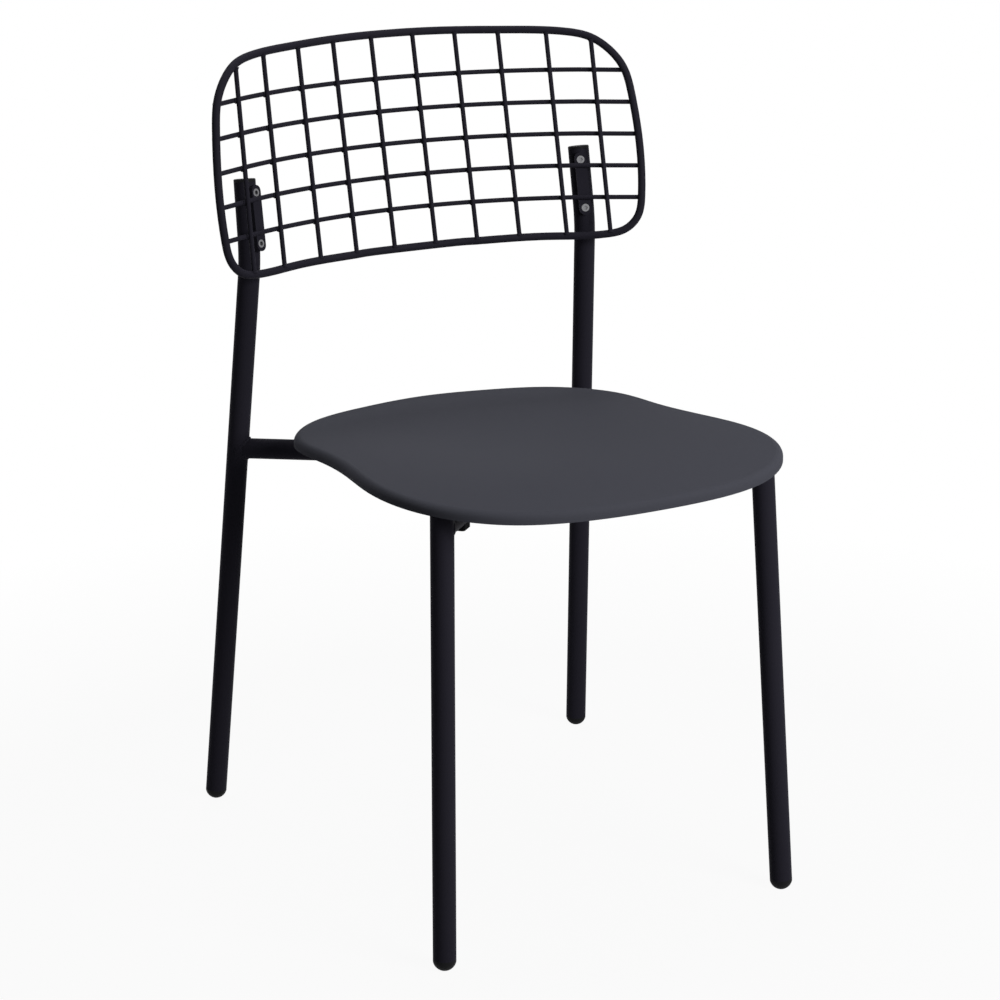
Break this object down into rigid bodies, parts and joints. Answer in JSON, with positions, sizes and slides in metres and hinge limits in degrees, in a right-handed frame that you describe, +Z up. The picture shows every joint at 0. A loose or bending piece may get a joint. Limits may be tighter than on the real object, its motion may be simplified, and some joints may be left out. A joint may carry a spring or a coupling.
{
  "type": "side chair",
  "caption": "Stackable aluminium side chair with slim tube legs, a pressed contoured seat pan and a curved wire grid backrest in a dark powder coat",
  "frame": {"origin": "on the floor, at the centre of the bounding box in plan", "axes": "+Z up from the floor, -Y the way the sitter faces, +X to the right seen from the front"},
  "size_m": [0.4788, 0.5296, 0.7974],
  "materials": {
    "frame_coat": "dark navy-black powder coat, satin",
    "seat_coat": "dark grey powder coat, fine texture, matte",
    "black_plastic": "moulded black plastic, matte",
    "bumper_rubber": "black rubber, matte",
    "screw_steel": "plain stainless"
  },
  "bodies": {
    "root": {"front_leg_left": "frame_coat", "front_leg_right": "frame_coat", "rear_leg_left": "frame_coat", "rear_leg_right": "frame_coat", "side_rail_left": "frame_coat", "side_rail_right": "frame_coat", "cross_bar_front": "frame_coat", "cross_bar_rear": "frame_coat", "seat_pan": "seat_coat", "seat_spacer_front_left": "black_plastic", "seat_spacer_front_right": "black_plastic", "seat_spacer_rear_left": "black_plastic", "seat_spacer_rear_right": "black_plastic", "seat_screws": "screw_steel", "seat_washers": "black_plastic", "seat_weld_nuts": "seat_coat", "foot_glide_front_left": "black_plastic", "foot_glide_front_right": "black_plastic", "foot_glide_rear_left": "black_plastic", "foot_glide_rear_right": "black_plastic", "post_cap_left": "black_plastic", "post_cap_right": "black_plastic", "front_leg_plug_left": "black_plastic", "front_leg_plug_right": "black_plastic", "stacking_bumper_left": "bumper_rubber", "stacking_bumper_right": "bumper_rubber", "back_rim": "frame_coat", "back_vertical_wire_1": "frame_coat", "back_vertical_wire_2": "frame_coat", "back_vertical_wire_3": "frame_coat", "back_vertical_wire_4": "frame_coat", "back_vertical_wire_5": "frame_coat", "back_vertical_wire_6": "frame_coat", "back_vertical_wire_7": "frame_coat", "back_vertical_wire_8": "frame_coat", "back_vertical_wire_9": "frame_coat", "back_vertical_wire_10": "frame_coat", "back_horizontal_wire_1": "frame_coat", "back_horizontal_wire_2": "frame_coat", "back_horizontal_wire_3": "frame_coat", "back_horizontal_wire_4": "frame_coat", "back_horizontal_wire_5": "frame_coat", "back_strap_left": "frame_coat", "back_strap_right": "frame_coat", "back_screws": "screw_steel", "back_rivet_nuts": "screw_steel"}
  },
  "joints": []
}
